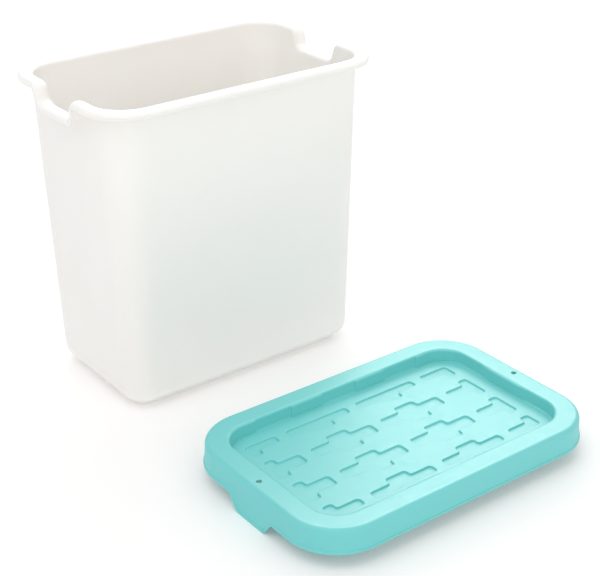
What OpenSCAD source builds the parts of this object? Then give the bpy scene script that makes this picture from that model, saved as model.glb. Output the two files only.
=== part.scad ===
// Household bin in two mouldings: an open tapered tub and a loose lift-off lid.
// The tub stands on the floor with its base centred on the origin. The lid lies in front of it,
// right side up, standing on its two end tabs. Millimetres, +Z up, long sides along X.

/* [Tub] */
// Length over the rim
rim_length = 339; // [300:1:380]
// Width over the rim
rim_width = 219; // [190:1:250]
// Height from the floor to the top of the rim
tub_height = 338; // [280:1:400]
// Corner radius of the rim, seen from above
rim_corner = 49.5; // [48:0.5:56]
// Wall thickness of the tub
tub_wall = 2.2; // [1.8:0.1:2.6]
// How far the rim stands out from the wall
rim_overhang = 14; // [12:0.5:16]
// Height of the rolled rim, crest to lower lip
rim_drop = 8; // [7:0.5:10]
// How far the wall leans in from the rim down to the bottom bend
wall_lean = 9.4; // [6:0.2:12]

/* [Foot] */
// Height of the stepped foot
foot_height = 6.6; // [5:0.2:9]
// How far the foot stands in from the wall above the bottom bend
foot_inset = 14; // [12:0.5:16]
// Thickness of the floor plate
floor_thickness = 2.6; // [2.2:0.1:3]

/* [Grip notches] */
// Depth of a grip notch, crest to crest
notch_depth = 21; // [18:1:26]
// Half-width of a notch, halfway down its slopes
notch_half_width = 31.5; // [28:0.5:36]
// Crest radius where the rim turns down into a notch
notch_top_radius = 12; // [11:0.5:14]
// Crest radius at the bottom corners of a notch
notch_low_radius = 8; // [6:0.5:10]

/* [Lid] */
// Gap between the rim and the inside of the lid's skirt
lid_gap = 1.4; // [1:0.1:2]
// Wall thickness of the lid
lid_wall = 2.1; // [1.8:0.1:2.4]
// Depth of the skirt below the top of the flange
skirt_depth = 25.4; // [22:0.2:30]
// How far the skirt leans out from top to bottom
skirt_lean = 1; // [0.5:0.1:1.5]
// Depth of the recessed deck
recess_depth = 13.7; // [11:0.1:15]
// Radius of the long rounded edge of the flange
flange_edge = 5; // [4:0.5:6]

/* [Lid tabs and holes] */
// How far a tab hangs below the skirt
tab_drop = 16; // [12:0.5:20]
// Half-width of a tab where it leaves the skirt
tab_top_half = 36; // [32:1:42]
// Half-width of a tab at its lower edge
tab_low_half = 21; // [18:1:26]
// Radius of the hole at each end of the lid
hole_radius = 2.75; // [2:0.25:3.5]
// Distance from the middle of the lid to each hole
hole_offset = 163; // [160:0.5:165]

/* [Deck pattern] */
// Spacing of the sunken crosses along the lid
cross_pitch_x = 88.3; // [84:0.1:92]
// Spacing of the sunken crosses across the lid
cross_pitch_y = 45.6; // [43:0.1:48]
// Depth of the sunken crosses
cross_depth = 2.2; // [1:0.1:2.6]

/* [Lid place] */
// Middle of the lid along X
lid_x = 16.5; // [-40:0.5:60]
// Middle of the lid along Y
lid_y = -310; // [-360:1:-290]

/* [Hidden] */
$fn = 96;
arc_steps = 5;
tub_colour = [0.93, 0.93, 0.90];
lid_colour = [0.45, 0.83, 0.83];

// The four corner bends of both mouldings share these axes, so every section is one profile
// swept round them. A profile's x is the distance from the corner axis and its y is the height.
axis_x = rim_length / 2 - rim_corner;
axis_y = rim_width / 2 - rim_corner;

// Points of an arc round a centre, from one angle to another
function arc(centre, radius, from, to, steps = arc_steps) =
    [for (i = [0:steps]) let (a = from + (to - from) * i / steps)
        [centre[0] + radius * cos(a), centre[1] + radius * sin(a)]];

// Tub: key distances from the corner axis and key heights
rim_r = rim_corner;
wall_top_r = rim_r - rim_overhang;
wall_low_r = wall_top_r - wall_lean;
foot_r = wall_low_r - foot_inset;
foot_ledge = 0.8;
bend_radius = foot_inset - foot_ledge;
bend_z = foot_height + bend_radius;
rim_crest_radius = 5;
rim_inner_radius = 5.5;
under_rim_fillet = 3;
lip_height = 2;
lip_set_back = 0.4;
lip_edge = 0.2;
groove_depth = 0.8;
groove_width = 0.6;
foot_chamfer = 2;
inner_bend = bend_radius - tub_wall;
inner_foot_r = foot_r - tub_wall;

// Rolled rim, drawn with the crest at height 0: over the crest, down to the lip and back under
rim_over = concat(
    arc([wall_top_r - tub_wall + rim_inner_radius, -rim_inner_radius], rim_inner_radius, 180, 90),
    arc([rim_r - rim_crest_radius, -rim_crest_radius], rim_crest_radius, 90, 0),
    [[rim_r - groove_depth, -rim_crest_radius - groove_width],
     [rim_r - groove_depth, -rim_drop + lip_height + lip_edge],
     [rim_r - lip_set_back, -rim_drop + lip_height - lip_edge],
     [rim_r - lip_set_back, -rim_drop],
     [rim_r - tub_wall, -rim_drop]]);
rim_under = concat(
    arc([rim_r - rim_crest_radius, -rim_crest_radius], rim_crest_radius - tub_wall, 0, 90),
    arc([wall_top_r + under_rim_fillet, -tub_wall - under_rim_fillet], under_rim_fillet, 90, 180));
// A neck hangs under the notch rim, inside the thickness of the wall that it joins
neck_depth = tub_wall + 5;
neck_side = 0.7;
notch_neck = [[wall_top_r - neck_side, -tub_wall - under_rim_fillet],
    [wall_top_r - neck_side, -neck_depth],
    [wall_top_r - tub_wall + neck_side, -neck_depth],
    [wall_top_r - tub_wall + neck_side, -rim_inner_radius]];

// Wall, bottom bend, foot and floor
outer_low = concat(
    [[wall_low_r, bend_z]],
    arc([foot_r + foot_ledge, bend_z], bend_radius, 0, -90),
    [[foot_r, foot_height], [foot_r, 0], [0, 0]]);
inner_low = concat(
    [[0, floor_thickness], [inner_foot_r - foot_chamfer, floor_thickness],
     [inner_foot_r, floor_thickness + foot_chamfer],
     [inner_foot_r, foot_height + tub_wall + 0.5]],
    arc([foot_r + foot_ledge, bend_z], inner_bend, -90, 0));
function raised(points, z) = [for (p = points) [p[0], p[1] + z]];

module tub_profile() {
    polygon(concat(raised(rim_over, tub_height), raised(rim_under, tub_height), outer_low, inner_low));
}

// The same wall without its rim, for the stretch under a notch
module bare_wall_profile() {
    top = [[wall_top_r - tub_wall, -rim_inner_radius],
           [wall_top_r - tub_wall, 1 - tub_wall - under_rim_fillet],
           [wall_top_r, 1 - tub_wall - under_rim_fillet],
           [wall_top_r, -tub_wall - under_rim_fillet]];
    polygon(concat(raised(top, tub_height), outer_low, inner_low));
}

module notch_rim_profile() {
    polygon(concat(rim_over, rim_under, notch_neck));
}

// Sweep a profile round the four corners
module corners() {
    for (c = [[1, 1, 0], [-1, 1, 90], [-1, -1, 180], [1, -1, 270]])
        translate([c[0] * axis_x, c[1] * axis_y, 0])
            rotate([0, 0, c[2]]) rotate_extrude(angle = 90) children();
}

// Sweep a profile along both long sides
module long_sides() {
    for (turn = [90, 270])
        rotate([0, 0, turn]) translate([axis_y, axis_x, 0])
            rotate([90, 0, 0]) linear_extrude(height = 2 * axis_x) children();
}

// Sweep a profile along both short ends, between two distances from the middle
module short_ends(y_from, y_to) {
    for (turn = [0, 180])
        rotate([0, 0, turn]) translate([axis_x, y_to, 0])
            rotate([90, 0, 0]) linear_extrude(height = y_to - y_from) children();
}

// Grip notch: its crest goes level, down over a bend, along a slope, round a bend and level again
// The slope is the 7-24-25 triangle's steep angle, so its bends end on round numbers.
slope_cos = 0.28;
slope_sin = 0.96;
notch_slope = acos(slope_cos);
notch_slope_height = notch_depth - (notch_top_radius + notch_low_radius) * (1 - slope_cos);
notch_slope_run = notch_slope_height * slope_cos / slope_sin;
notch_top_run = notch_top_radius * slope_sin;
notch_low_run = notch_low_radius * slope_sin;
notch_low_y = notch_half_width - notch_slope_run / 2 - notch_low_run;
notch_top_y = notch_half_width + notch_slope_run / 2 + notch_top_run;
notch_slope_length = notch_slope_height / slope_sin;
notch_cut = tub_wall + 2.7;

// One half of a notch rim, from the middle of the short end towards +Y
module notch_rim_half() {
    low_z = tub_height - notch_depth;
    translate([axis_x, notch_low_y, low_z])
        rotate([90, 0, 0]) linear_extrude(height = notch_low_y) notch_rim_profile();
    translate([axis_x, notch_low_y, low_z + notch_low_radius])
        rotate([0, 90, 0]) rotate_extrude(angle = notch_slope)
            rotate([0, 0, 90]) translate([0, -notch_low_radius, 0]) notch_rim_profile();
    translate([axis_x, notch_low_y + notch_low_run, low_z + notch_low_radius * (1 - slope_cos)])
        rotate([notch_slope, 0, 0]) translate([0, notch_slope_length, 0])
            rotate([90, 0, 0]) linear_extrude(height = notch_slope_length) notch_rim_profile();
    translate([axis_x, notch_top_y, tub_height - notch_top_radius])
        rotate([0, -90, 180]) rotate_extrude(angle = notch_slope)
            translate([notch_top_radius, 0, 0]) mirror([1, 0, 0]) rotate([0, 0, 90])
                notch_rim_profile();
}

// Outline of the gap over one half of a notch, cut a little below the crest
notch_outline = concat(
    [[0, tub_height + 1], [0, tub_height - notch_depth - notch_cut]],
    arc([notch_low_y, tub_height - notch_depth + notch_low_radius], notch_low_radius + notch_cut,
        -90, notch_slope - 90),
    arc([notch_top_y, tub_height - notch_top_radius], notch_top_radius - notch_cut,
        90 + notch_slope, 90),
    [[notch_top_y, tub_height + 1]]);

module tub() color(tub_colour) {
    corners() tub_profile();
    long_sides() tub_profile();
    short_ends(notch_top_y, axis_y) tub_profile();
    short_ends(-axis_y, -notch_top_y) tub_profile();
    difference() {
        short_ends(-notch_top_y, notch_top_y) bare_wall_profile();
        for (turn = [0, 180], side = [0, 1])
            rotate([0, 0, turn]) mirror([0, side, 0]) translate([axis_x + wall_low_r, 0, 0])
                rotate([90, 0, 90]) linear_extrude(height = rim_r) polygon(notch_outline);
    }
    for (turn = [0, 180], side = [0, 1])
        rotate([0, 0, turn]) mirror([0, side, 0]) notch_rim_half();
    translate([-axis_x, -axis_y, 0]) cube([2 * axis_x, 2 * axis_y, floor_thickness]);
}

// Lid: key distances from the corner axis; heights are below the top of the flange
skirt_r = rim_r + lid_gap + lid_wall;
skirt_low_r = skirt_r + skirt_lean;
recess_r = skirt_r - 23.5;
recess_lean = 1;
recess_edge = 2.5;
cove_radius = 1.5;
skirt_lip = 1;
skirt_lip_height = 2.4;
deck_z = -recess_depth;

skirt_inside = concat(
    [[skirt_low_r - lid_wall, -skirt_depth]],
    arc([skirt_r - flange_edge, -flange_edge], flange_edge - lid_wall, 0, 90),
    arc([recess_r + recess_edge, -recess_edge], recess_edge - lid_wall, 90, 180),
    [[recess_r - recess_lean + lid_wall, deck_z - lid_wall + cove_radius],
     [recess_r - recess_lean + lid_wall - cove_radius, deck_z - lid_wall],
     [0, deck_z - lid_wall], [0, deck_z]]);
skirt_outside = concat(
    arc([recess_r - recess_lean - cove_radius, deck_z + cove_radius], cove_radius, -90, 0),
    arc([recess_r + recess_edge, -recess_edge], recess_edge, 180, 90),
    arc([skirt_r - flange_edge, -flange_edge], flange_edge, 90, 0));

module plain_lid_profile() {
    polygon(concat(skirt_inside, skirt_outside, [[skirt_low_r, -skirt_depth]]));
}

module lipped_lid_profile() {
    polygon(concat(skirt_inside, skirt_outside,
        [[skirt_low_r - 0.1, -skirt_depth + skirt_lip_height],
         [skirt_low_r + skirt_lip, -skirt_depth + skirt_lip_height - 0.8],
         [skirt_low_r + skirt_lip, -skirt_depth]]));
}

// End tab, a slab in the thickness of the skirt with rounded lower corners
tab_round = 6;
tab_flare = 2;
tab_set_back = 0.15;
tab_inner_r = skirt_low_r - lid_wall + tab_set_back;
tab_thickness = lid_wall - 2 * tab_set_back;
tab_low_z = -skirt_depth - tab_drop;
tab_join_z = -skirt_depth + 3;
tab_outline = concat(
    [[-tab_top_half, -skirt_depth], [-tab_top_half, tab_join_z], [tab_top_half, tab_join_z],
     [tab_top_half, -skirt_depth]],
    arc([tab_low_half - tab_flare, tab_low_z + tab_round], tab_round, -30, -90),
    arc([tab_flare - tab_low_half, tab_low_z + tab_round], tab_round, -90, -150));

module tab() {
    translate([axis_x + tab_inner_r, 0, 0])
        rotate([90, 0, 90]) linear_extrude(height = tab_thickness) polygon(tab_outline);
}

// Sunken crosses in straight rows, trimmed by the border of the deck. The same outline, grown
// by the thickness of the lid, makes the pan that each cross hangs in below the deck.
cross_arm_half = 37.5;
cross_arm_half_width = 7.6;
cross_post_half = 16;
cross_post_half_width = 12.3;
border_half_x = 131;
border_half_y = 71;

module grown_square(half_x, half_y, grow) {
    square([2 * (half_x + grow), 2 * (half_y + grow)], center = true);
}

module crosses(grow = 0) {
    intersection() {
        grown_square(border_half_x, border_half_y, grow);
        for (i = [-1.5:1:1.5], j = [-1.5:1:1.5])
            translate([i * cross_pitch_x, j * cross_pitch_y]) {
                grown_square(cross_arm_half, cross_arm_half_width, grow);
                grown_square(cross_post_half_width, cross_post_half, grow);
            }
    }
}

module lid() color(lid_colour)
    translate([lid_x, lid_y, skirt_depth + tab_drop])
        difference() {
            union() {
                corners() lipped_lid_profile();
                long_sides() lipped_lid_profile();
                short_ends(tab_top_half, axis_y) lipped_lid_profile();
                short_ends(-axis_y, -tab_top_half) lipped_lid_profile();
                short_ends(-tab_top_half, tab_top_half) plain_lid_profile();
                translate([-axis_x, -axis_y, deck_z - lid_wall])
                    cube([2 * axis_x, 2 * axis_y, lid_wall]);
                for (turn = [0, 180]) rotate([0, 0, turn]) tab();
                translate([0, 0, deck_z - cross_depth - lid_wall])
                    linear_extrude(height = cross_depth + 1) crosses(lid_wall);
            }
            translate([0, 0, deck_z - cross_depth])
                linear_extrude(height = cross_depth + 1) crosses();
            for (end = [-1, 1])
                translate([end * hole_offset, 0, -lid_wall - 1])
                    cylinder(r = hole_radius, h = lid_wall + 2);
        }

tub();
lid();
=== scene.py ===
import math

import bmesh
import bpy
from mathutils import Matrix, Vector


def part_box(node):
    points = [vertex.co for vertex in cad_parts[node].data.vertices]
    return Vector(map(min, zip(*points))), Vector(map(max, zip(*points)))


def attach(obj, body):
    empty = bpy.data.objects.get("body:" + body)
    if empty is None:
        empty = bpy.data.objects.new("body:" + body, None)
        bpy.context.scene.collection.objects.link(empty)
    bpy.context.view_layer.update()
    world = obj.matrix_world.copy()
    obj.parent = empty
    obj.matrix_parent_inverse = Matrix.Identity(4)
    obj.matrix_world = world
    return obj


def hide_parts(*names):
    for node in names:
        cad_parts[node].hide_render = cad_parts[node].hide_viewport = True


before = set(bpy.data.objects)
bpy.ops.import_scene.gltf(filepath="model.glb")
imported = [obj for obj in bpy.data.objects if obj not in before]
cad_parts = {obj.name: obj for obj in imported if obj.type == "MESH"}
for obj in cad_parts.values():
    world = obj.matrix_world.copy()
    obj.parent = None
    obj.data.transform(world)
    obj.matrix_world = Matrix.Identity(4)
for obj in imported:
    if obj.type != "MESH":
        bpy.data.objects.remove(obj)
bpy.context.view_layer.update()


# ---- The tub ---------------------------------------------------------------------------------
# An open tapered tub of white polypropylene, injection moulded in one shot. Its rim is rolled
# outwards with a thin lip below, and dips into a grip notch at each short end. The wall turns
# under in a soft bend on to a stepped foot. Lengths are millimetres until a point is placed.
MM = 0.001
tub_low, tub_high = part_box("tub")
tub_middle = (tub_low + tub_high) / 2
tub_height = (tub_high.z - tub_low.z) / MM
rim_corner = 49.5
rim_overhang = 14
rim_drop = 8
roll_height = 5.2
corner_x = (tub_high.x - tub_low.x) / 2 / MM - rim_corner
corner_y = (tub_high.y - tub_low.y) / 2 / MM - rim_corner

tub_wall = 2.2
wall_lean = 9.4
wall_top_r = rim_corner - rim_overhang
wall_low_r = wall_top_r - wall_lean
wall_top_z = tub_height - roll_height
wall_low_z = 19.8
bottom_bend = 13.2
foot_height = 6.6
foot_r = 12.1
foot_width = 4
base_hollow = 1
floor_top = 2.6
middle_ring_r = 5


def rounded(corners, step=math.radians(15)):
    """An outline through (r, z, fillet radius) corners, each fillet drawn as a short arc."""
    points = []
    for i, (r, z, radius) in enumerate(corners):
        here = Vector((r, z))
        if radius == 0 or i in (0, len(corners) - 1):
            points.append(here)
            continue
        before = Vector(corners[i - 1][:2]) - here
        after = Vector(corners[i + 1][:2]) - here
        turn = math.pi - before.angle(after)
        reach = radius * math.tan(turn / 2)
        start = here + before.normalized() * reach
        middle = here + (before.normalized() + after.normalized()).normalized() * (
            radius / math.cos(turn / 2))
        spoke = start - middle
        side = 1 if before.x * after.y - before.y * after.x < 0 else -1
        count = max(2, math.ceil(turn / step))
        for k in range(count + 1):
            angle = side * turn * k / count
            points.append(middle + Matrix.Rotation(angle, 2) @ spoke)
    return points


def eased(value, low, high):
    """0 at low, 1 at high, and a smooth S between them."""
    t = min(1, max(0, (value - low) / (high - low)))
    return t * t * (3 - 2 * t)


def wall_r(z):
    """Outer face of the tub's wall, which leans in towards the foot."""
    share = (z - wall_low_z) / (wall_top_z - wall_low_z)
    return wall_low_r + wall_lean * share


wall_heights = [30, 70, 110, 150, 180, 200, 220, 240, 260, 280, 295, 308, 318, 326]
inside_bend_z = foot_height + tub_wall
inner_foot_r = foot_r - tub_wall
tub_inside = [(middle_ring_r, floor_top, 0), (inner_foot_r, floor_top, 2), (inner_foot_r, inside_bend_z, 1),
              (wall_r(inside_bend_z) - tub_wall, inside_bend_z, bottom_bend - tub_wall)]
tub_inside += [(wall_r(z) - tub_wall, z, 0) for z in wall_heights]

# The roll is half an ellipse over the top. A fine groove parts it from the lip below.
roll_middle_r = (wall_top_r - tub_wall + rim_corner) / 2
roll_half = rim_corner - roll_middle_r
tub_rim = [(roll_middle_r - roll_half * math.cos(a), tub_height + roll_height * (math.sin(a) - 1), 0)
           for a in (math.pi * i / 20 for i in range(21))]
groove_r = rim_corner - 0.9
lip_r = rim_corner - 0.4
under_rim_r = rim_corner - tub_wall
tub_rim += [(groove_r, tub_height - 5.6, 0.15), (groove_r, tub_height - 6, 0.15),
            (lip_r, tub_height - 6.3, 0.2), (lip_r, tub_height - rim_drop, 0.5),
            (under_rim_r, tub_height - rim_drop, 0.5), (under_rim_r, tub_height - tub_wall, 2.8),
            (wall_top_r, tub_height - tub_wall, 3)]

tub_outside = [(wall_r(z), z, 0) for z in reversed(wall_heights)]
tub_outside += [(wall_r(foot_height), foot_height, bottom_bend), (foot_r, foot_height, 0.4),
                (foot_r, 0, 0.6), (foot_r - foot_width, 0, 0.4),
                (foot_r - foot_width, base_hollow, 0.4), (middle_ring_r, base_hollow, 0)]
tub_rows = rounded(tub_inside + tub_rim + tub_outside)


def dipping_edge(low_half, depth, low_radius, top_radius, slope, end, steps=9):
    """An edge across a short end that dips in the middle: (distance, drop, tilt) of each point.
    From the middle it runs level, bends up, climbs straight, bends back and runs level to the end."""
    half = [(low_half * i / 4, -depth, 0) for i in range(4)]
    for i in range(steps + 1):
        a = slope * i / steps
        half.append((low_half + low_radius * math.sin(a), low_radius * (1 - math.cos(a)) - depth, a))
    climb = depth - (low_radius + top_radius) * (1 - math.cos(slope))
    top_start = half[-1][0] + climb / math.tan(slope) + top_radius * math.sin(slope)
    for i in range(steps + 1):
        a = slope * (1 - i / steps)
        half.append((top_start - top_radius * math.sin(a), top_radius * (math.cos(a) - 1), a))
    half += [(top_start + (end - top_start) * share, 0, 0) for share in (0.2, 0.5)]
    return [(-y, drop, -tilt) for y, drop, tilt in reversed(half[1:])] + half


def ring_of_stations(edge, side_places, corner_steps=20):
    """Places round a moulding: (corner axis point, outward direction, drop, tilt) of each."""
    stations = []
    for quarter, (sx, sy) in enumerate(((1, 1), (-1, 1), (-1, -1), (1, -1))):
        if quarter in (0, 2):
            for y, drop, tilt in edge:
                stations.append((Vector((sx * corner_x, sx * y)), Vector((sx, 0)), drop, sx * tilt))
        else:
            for x in side_places:
                stations.append((Vector((-sy * x, sy * corner_y)), Vector((0, sy)), 0, 0))
        for i in range(corner_steps + 1):
            a = math.radians(90) * (quarter + i / corner_steps)
            axis = Vector((sx * corner_x, sy * corner_y))
            stations.append((axis, Vector((math.cos(a), math.sin(a))), 0, 0))
    return stations


def skin(rows, stations, placed):
    """The whole surface of a moulding: each row of its section taken round every station."""
    mould = bmesh.new()
    grid = [[mould.verts.new(placed(row, station)) for station in stations] for row in rows]
    count = len(stations)
    for lower, upper in zip(grid, grid[1:]):
        for i in range(count):
            j = (i + 1) % count
            mould.faces.new((lower[i], lower[j], upper[j], upper[i]))
    mould.faces.new(grid[0])
    mould.faces.new(grid[-1])
    bmesh.ops.recalc_face_normals(mould, faces=mould.faces)
    return mould


def finished_piece(name, mould):
    """A named piece made of a surface, put in the scene."""
    mesh = bpy.data.meshes.new(name)
    mould.to_mesh(mesh)
    mould.free()
    piece = bpy.data.objects.new(name, mesh)
    bpy.context.scene.collection.objects.link(piece)
    return piece


def shade_flats(piece):
    """Smooth the fillets, keep the creases and let the large faces rule the shading."""
    piece.data.shade_smooth()
    piece.data.set_sharp_from_angle(angle=math.radians(42))
    weigh = piece.modifiers.new("flats stay flat", "WEIGHTED_NORMAL")
    weigh.keep_sharp = True
    weigh.weight = 90


wall_bends_from_z = 170
wall_hang = 5.5


def tub_place(row, station):
    """A point of the tub. The rim follows the notch edge whole, and the wall gives way slowly."""
    r, z = row
    axis, out, drop, tilt = station
    follow = eased(z, wall_bends_from_z, tub_height - rim_drop)
    hang = z - tub_height
    if r < wall_top_r + 1:
        hang = max(hang, -wall_hang)
    rise = follow * (drop + hang * (math.cos(tilt) - 1))
    slip = -follow * hang * math.sin(tilt)
    r += rise * wall_lean / (wall_top_z - wall_low_z)
    across = axis + out * r
    return Vector((tub_middle.x + across.x * MM, tub_middle.y + (across.y + slip) * MM,
                   tub_low.z + (z + rise) * MM))


notch_depth = 21
notch_floor_half = 22.86
notch_floor_bend = 8
notch_top_bend = 12
notch_slope = math.radians(73.7)
notch_edge = dipping_edge(notch_floor_half, notch_depth, notch_floor_bend, notch_top_bend, notch_slope,
                          corner_y)
tub_sides = [corner_x * (i / 8 - 1) for i in range(1, 16)]
tub = finished_piece("tub_moulding", skin(tub_rows, ring_of_stations(notch_edge, tub_sides), tub_place))
shade_flats(tub)


def add_node(tree, kind, values=None, **settings):
    """One shader node with its settings and its fixed inputs."""
    node = tree.nodes.new(kind)
    for key, value in settings.items():
        setattr(node, key, value)
    for key, value in (values or {}).items():
        node.inputs[key].default_value = value
    return node


def moulded_plastic(name, pale, deep, rough, relief):
    """Injection-moulded plastic: clouded colour, fine spark-eroded grain and faint flow waves.
    Pattern scales are repeats per metre, and bump distances are metres."""
    material = bpy.data.materials.new(name)
    material.use_nodes = True
    tree = material.node_tree
    shader = tree.nodes["Principled BSDF"]
    place = add_node(tree, "ShaderNodeTexCoord")
    clouds = add_node(tree, "ShaderNodeTexNoise", {"Scale": 7, "Detail": 3})
    grain = add_node(tree, "ShaderNodeTexNoise", {"Scale": 1400, "Detail": 2})
    waves = add_node(tree, "ShaderNodeTexNoise", {"Scale": 16, "Detail": 1})
    scuffs = add_node(tree, "ShaderNodeTexNoise", {"Scale": 120, "Detail": 6, "Roughness": 0.7})
    for pattern in (clouds, grain, waves, scuffs):
        tree.links.new(place.outputs["Object"], pattern.inputs["Vector"])
    tint = add_node(tree, "ShaderNodeValToRGB")
    tint.color_ramp.elements[0].position = 0.35
    tint.color_ramp.elements[0].color = (*deep, 1)
    tint.color_ramp.elements[1].position = 0.65
    tint.color_ramp.elements[1].color = (*pale, 1)
    tree.links.new(clouds.outputs["Fac"], tint.inputs["Fac"])
    tree.links.new(tint.outputs["Color"], shader.inputs["Base Color"])
    gloss = add_node(tree, "ShaderNodeMapRange",
                     {"From Min": 0.35, "From Max": 0.7, "To Min": rough - 0.04, "To Max": rough + 0.07})
    tree.links.new(scuffs.outputs["Fac"], gloss.inputs["Value"])
    tree.links.new(gloss.outputs["Result"], shader.inputs["Roughness"])
    swell = add_node(tree, "ShaderNodeBump", {"Strength": 0.35, "Distance": 0.0006})
    tree.links.new(waves.outputs["Fac"], swell.inputs["Height"])
    texture = add_node(tree, "ShaderNodeBump", {"Strength": relief, "Distance": 0.00004})
    tree.links.new(grain.outputs["Fac"], texture.inputs["Height"])
    tree.links.new(swell.outputs["Normal"], texture.inputs["Normal"])
    tree.links.new(texture.outputs["Normal"], shader.inputs["Normal"])
    return material


white_polypropylene = moulded_plastic("white polypropylene", pale=(0.94, 0.912, 0.872),
                                      deep=(0.927, 0.897, 0.855), rough=0.48, relief=0.5)
tub.data.materials.append(white_polypropylene)

# The wall is thin enough for some light to come through it.
white_shader = white_polypropylene.node_tree.nodes["Principled BSDF"]
white_shader.inputs["Subsurface Weight"].default_value = 1
white_shader.inputs["Subsurface Radius"].default_value = (1, 0.97, 0.9)
white_shader.inputs["Subsurface Scale"].default_value = 0.005
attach(tub, "tub")
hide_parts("tub")


# ---- The lid ---------------------------------------------------------------------------------
# A loose cover of turquoise polypropylene, moulded in one shot. A flat flange surrounds a sunken
# deck with a pattern of crosses. Its skirt drops over the tub's rim, a tab at each short end
# covers a grip notch, and the flange has a small hole at each end.
lid_low, lid_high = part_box("lid")
lid_middle = (lid_low + lid_high) / 2
skirt_depth = 25.4
tab_drop = (lid_high.z - lid_low.z) / MM - skirt_depth
lid_wall = 2.1
skirt_r = 53
skirt_low_r = 54
lid_lip_r = (lid_high.x - lid_low.x) / 2 / MM - corner_x
recess_top_r = 29.5
recess_low_r = 28.5
deck_z = -13.7
deck_ring_r = 22
flange_ring_r = 39
flange_edge = 5

# How far the skirt has leaned out at each depth below the flange
skirt_lean = [(8, 0.15), (12, 0.35), (16, 0.55), (19.5, 0.75)]
flange_end_r = skirt_r - 0.2

deck_and_recess = [(deck_ring_r, deck_z, 0), (recess_low_r, deck_z, 1.5), (recess_low_r + 0.5, -8, 0),
                   (recess_top_r, 0, 2.5), (flange_ring_r, 0, 0)]
flange_and_skirt = [(flange_ring_r, 0, 0), (flange_end_r, 0, flange_edge)]
flange_and_skirt += [(skirt_r + lean, -depth, 0) for depth, lean in skirt_lean]
flange_and_skirt += [(skirt_low_r - 0.1, -22.8, 0.4), (lid_lip_r, -23.4, 0.4),
                     (lid_lip_r, -skirt_depth, 0.6), (skirt_low_r - lid_wall, -skirt_depth, 0.5)]
flange_and_skirt += [(skirt_r + lean - lid_wall, -depth, 0) for depth, lean in reversed(skirt_lean)]
flange_and_skirt += [(flange_end_r - lid_wall, -lid_wall, flange_edge - lid_wall),
                     (flange_ring_r, -lid_wall, 0)]
recess_underneath = [(flange_ring_r, -lid_wall, 0), (recess_top_r + lid_wall, -lid_wall, 1),
                     (recess_low_r + lid_wall, deck_z - lid_wall, 2.5), (deck_ring_r, deck_z - lid_wall, 0)]
recess_rows = [(r, z, "recess") for r, z in rounded(deck_and_recess)]
skirt_rows = [(r, z, "skirt") for r, z in rounded(flange_and_skirt)[1:]]
under_rows = [(r, z, "underneath") for r, z in rounded(recess_underneath)[1:]]

# Shallow panels let into the wall of the recess. Heights are below the top of the flange.
panel_relief = 1.1
panel_foot_z = deck_z + 1.2
panel_top_z = -2.2
panel_fade_z = -0.1
panel_pitch = 82.6
sunk_panel_half = 22
end_panel_half = 31.5
step_half = 0.25


def panel_share(axis, out):
    """1 where the recess wall stands proud and 0 where a shallow panel is let into it."""
    if abs(out.y) > 0.999 and abs(axis.x) < corner_x - 0.1:
        from_panel = abs((axis.x + panel_pitch / 2) % panel_pitch - panel_pitch / 2)
        return eased(from_panel, sunk_panel_half - step_half, sunk_panel_half + step_half)
    if abs(out.x) > 0.999 and abs(axis.y) < corner_y - 0.1:
        return 1 - eased(abs(axis.y), end_panel_half - step_half, end_panel_half + step_half)
    return eased(abs(out.y), 0, 0.9)


lip_band = 3
skirt_top_z = -6


def lid_place(row, station):
    """A point of the lid. The lip follows the edge of each tab, and the skirt stretches to it."""
    r, z, part = row
    axis, out, drop, tilt = station
    rise = 0
    slip = 0
    if part == "skirt":
        follow = 1 - eased(z, -skirt_depth + lip_band, skirt_top_z)
        hang = min(z + skirt_depth, lip_band)
        rise = follow * (drop + hang * (math.cos(tilt) - 1))
        slip = -follow * hang * math.sin(tilt)
    if part == "recess":
        wall_share = eased(z, deck_z, panel_foot_z) * (1 - eased(z, panel_top_z, panel_fade_z))
        r -= panel_relief * wall_share * panel_share(axis, out)
    across = axis + out * r
    return Vector((lid_middle.x + across.x * MM, lid_middle.y + (across.y + slip) * MM,
                   lid_high.z + (z + rise) * MM))


tab_low_half = 18.5
tab_low_bend = 6
tab_top_bend = 4
tab_slope = math.radians(53)
tab_edge = dipping_edge(tab_low_half, tab_drop, tab_low_bend, tab_top_bend, tab_slope, corner_y)
panel_edges = [sunk_panel_half, panel_pitch - sunk_panel_half, panel_pitch + sunk_panel_half]
between_edges = [10, 35, 48, 72, 93, 113]
half_side = between_edges + [x + d for x in panel_edges for d in (-step_half, 0, step_half)]
lid_sides = sorted([-x for x in half_side] + [0] + half_side)
lid_stations = ring_of_stations(tab_edge, lid_sides)
lid = finished_piece("lid_moulding", skin(recess_rows + skirt_rows + under_rows, lid_stations, lid_place))

# Crosses sunk in the deck, those at its border cut off straight
cross_pitch_x = 88.3
cross_pitch_y = 45.6
cross_depth = 2.2
arm_half = 37.5
arm_half_width = 7.6
post_half = 16
post_half_width = 12.3
border_x = 131
border_y = 71
cross_corner = 3.2


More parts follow.
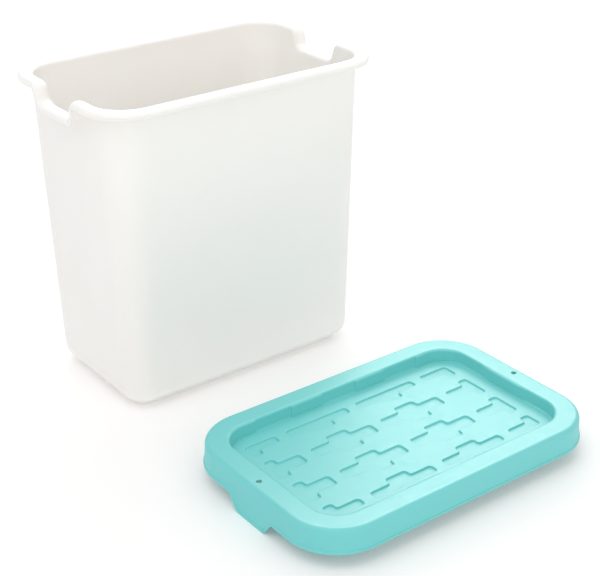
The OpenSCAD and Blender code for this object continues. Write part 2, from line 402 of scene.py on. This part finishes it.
def cross_corners(middle_x, middle_y):
    """Corners of one cross, cut off at the border of the deck, with none in line or repeated."""
    quarter = [(arm_half, arm_half_width), (post_half_width, arm_half_width),
               (post_half_width, post_half)]
    outline = []
    for sx, sy in ((1, 1), (-1, 1), (-1, -1), (1, -1)):
        turned = quarter if sx * sy > 0 else quarter[::-1]
        outline += [(middle_x + sx * x, middle_y + sy * y) for x, y in turned]
    cut = [Vector((max(-border_x, min(border_x, x)), max(-border_y, min(border_y, y))))
           for x, y in outline]
    kept = []
    for i, point in enumerate(cut):
        if (point - cut[i - 1]).length > 0.01:
            kept.append(point)
    corners = []
    for i, point in enumerate(kept):
        before = point - kept[i - 1]
        after = kept[(i + 1) % len(kept)] - point
        if abs(before.x * after.y - before.y * after.x) > 0.01:
            corners.append(point)
    return corners


def cross_outline(corners, grow, steps=6):
    """The cross with rounded corners, its whole edge moved outwards by grow."""
    outline = []
    for i, here in enumerate(corners):
        before = (here - corners[i - 1]).normalized()
        after = (corners[(i + 1) % len(corners)] - here).normalized()
        bulges = before.x * after.y - before.y * after.x > 0
        side = 1 if bulges else -1
        radius = min(cross_corner, (here - corners[i - 1]).length / 2.05,
                     (corners[(i + 1) % len(corners)] - here).length / 2.05)
        middle = here - before * radius + after * radius
        spoke = Vector((before.y, -before.x)) * side
        for k in range(steps + 1):
            turned = Matrix.Rotation(side * math.radians(90) * k / steps, 2) @ spoke
            outline.append(middle + turned * (radius + side * grow))
    return outline


def sunk_shapes(levels):
    """All the crosses as closed solids, each drawn through (grow, height) levels, top to bottom."""
    solids = bmesh.new()
    for i in (-1.5, -0.5, 0.5, 1.5):
        for j in (-1.5, -0.5, 0.5, 1.5):
            corners = cross_corners(i * cross_pitch_x, j * cross_pitch_y)
            rings = []
            for grow, height in levels:
                rings.append([solids.verts.new((lid_middle.x + p.x * MM, lid_middle.y + p.y * MM,
                                                lid_high.z + height * MM))
                              for p in cross_outline(corners, grow)])
            for upper, lower in zip(rings, rings[1:]):
                for a in range(len(upper)):
                    b = (a + 1) % len(upper)
                    solids.faces.new((upper[a], upper[b], lower[b], lower[a]))
            solids.faces.new(rings[0])
            solids.faces.new(rings[-1])
    bmesh.ops.recalc_face_normals(solids, faces=solids.faces)
    return solids


def combine(piece, tool, operation):
    """Join a solid to a piece, or cut it away, and keep only the result."""
    change = piece.modifiers.new("shape", "BOOLEAN")
    change.operation = operation
    change.solver = "EXACT"
    change.object = tool
    graph = bpy.context.evaluated_depsgraph_get()
    result = bpy.data.meshes.new_from_object(piece.evaluated_get(graph))
    piece.modifiers.clear()
    piece.data = result
    bpy.data.objects.remove(tool)


# The wall goes down round every cross, so a pan stands out below the deck under each of them.
pan_floor = deck_z - lid_wall - cross_depth
pan_levels = [(lid_wall, deck_z - lid_wall / 2), (lid_wall, pan_floor + 0.8),
              (lid_wall - 0.25, pan_floor + 0.25), (lid_wall - 0.8, pan_floor)]
combine(lid, finished_piece("pans", sunk_shapes(pan_levels)), "UNION")
cut_floor = deck_z - cross_depth
cut_levels = [(1.1, deck_z + 0.6), (1.0, deck_z), (0.45, deck_z - 0.15), (0.15, deck_z - 0.5),
              (-0.15, cut_floor + 0.7), (-0.4, cut_floor + 0.2), (-0.9, cut_floor)]
combine(lid, finished_piece("cuts", sunk_shapes(cut_levels)), "DIFFERENCE")

hole_r = 2.75
hole_offset = 163
hole_round = 0.5
hole_shape = [(hole_r + hole_round + 0.2, 0.5), (hole_r + hole_round, 0), (hole_r + 0.15, -0.15),
              (hole_r, -hole_round), (hole_r, -lid_wall + 0.2), (hole_r + 0.2, -lid_wall),
              (hole_r + 0.4, -lid_wall - 0.5)]


def turned_cutters(shape, middles, sides=40):
    """Round cutters, one at each middle, turned from (radius, height) points, top to bottom."""
    cutters = bmesh.new()
    for middle in middles:
        rings = []
        for radius, height in shape:
            ring = []
            for k in range(sides):
                a = math.tau * k / sides
                ring.append(cutters.verts.new((lid_middle.x + (middle + radius * math.cos(a)) * MM,
                                               lid_middle.y + radius * math.sin(a) * MM,
                                               lid_high.z + height * MM)))
            rings.append(ring)
        for upper, lower in zip(rings, rings[1:]):
            for a in range(sides):
                b = (a + 1) % sides
                cutters.faces.new((upper[a], upper[b], lower[b], lower[a]))
        cutters.faces.new(rings[0])
        cutters.faces.new(rings[-1])
    bmesh.ops.recalc_face_normals(cutters, faces=cutters.faces)
    return cutters


drills = turned_cutters(hole_shape, (-hole_offset, hole_offset))
combine(lid, finished_piece("drills", drills), "DIFFERENCE")
shade_flats(lid)

turquoise_polypropylene = moulded_plastic("turquoise polypropylene", pale=(0.175, 0.64, 0.635),
                                          deep=(0.163, 0.625, 0.62), rough=0.44, relief=0.8)
lid.data.materials.append(turquoise_polypropylene)
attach(lid, "lid")
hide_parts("lid")


# ---- The studio ------------------------------------------------------------------------------
# A pale floor under a white surround. Broad lamps overhead, behind and in front fill the shadows,
# and two cards behind show only as a sheen on the tops of the plastic.
floor_mesh = bmesh.new()
bmesh.ops.create_grid(floor_mesh, x_segments=1, y_segments=1, size=20)
floor = finished_piece("studio_floor", floor_mesh)
floor_paint = bpy.data.materials.new("pale floor")
floor_paint.use_nodes = True
floor_shader = floor_paint.node_tree.nodes["Principled BSDF"]
floor_shader.inputs["Base Color"].default_value = (0.87, 0.87, 0.87, 1)
floor_shader.inputs["Emission Color"].default_value = (1, 1, 1, 1)
floor_shader.inputs["Emission Strength"].default_value = 0.14
floor_shader.inputs["Roughness"].default_value = 0.9
floor.data.materials.append(floor_paint)

world = bpy.data.worlds.new("white surround")
bpy.context.scene.world = world
world.use_nodes = True
world.node_tree.nodes["Background"].inputs["Color"].default_value = (1, 1, 1, 1)
world.node_tree.nodes["Background"].inputs["Strength"].default_value = 0.7


def add_lamp(name, place, aim, width, height, power, fills=True, shines=True, tint=(1, 1, 1)):
    """A broad lamp that points at a spot. It may fill the shadows, show in the gloss, or both."""
    lamp = bpy.data.lights.new(name, "AREA")
    lamp.shape = "RECTANGLE"
    lamp.size = width
    lamp.size_y = height
    lamp.energy = power
    lamp.color = tint
    holder = bpy.data.objects.new(name, lamp)
    holder.location = place
    holder.rotation_euler = (Vector(aim) - Vector(place)).to_track_quat("-Z", "Y").to_euler()
    holder.visible_diffuse = fills
    holder.visible_glossy = shines
    bpy.context.scene.collection.objects.link(holder)


subject = (0, -0.1, 0.1)
add_lamp("back lamp", (1.75, 1.85, 1.4), subject, 2.6, 1.4, 18)
add_lamp("back card", (1.9, 2.1, 1.8), subject, 3.6, 2.2, 36, fills=False)
add_lamp("high card", (0.95, 1.15, 2.3), subject, 2.6, 1.6, 120, fills=False)
add_lamp("top lamp", (-1.1, -0.4, 2.6), subject, 2.2, 2.2, 19)
add_lamp("front lamp", (-0.2, -2.4, 1.2), subject, 2.4, 1.6, 11, shines=False,
         tint=(1, 0.88, 0.82))

camera_data = bpy.data.cameras.new("camera")
camera_data.lens = 80.82
camera_data.sensor_width = 36
camera_data.clip_end = 50
camera = bpy.data.objects.new("camera", camera_data)
camera.location = (-0.7276, -1.1574, 0.7473)
camera_turn = math.radians(-36.62)
camera_dip = math.radians(26.36)
camera_roll = math.radians(-0.47)
camera.rotation_euler = (Matrix.Rotation(camera_turn, 3, "Z")
                         @ Matrix.Rotation(math.radians(90) - camera_dip, 3, "X")
                         @ Matrix.Rotation(camera_roll, 3, "Z")).to_euler()
bpy.context.scene.collection.objects.link(camera)
bpy.context.scene.camera = camera
bpy.context.scene.view_settings.view_transform = "Standard"
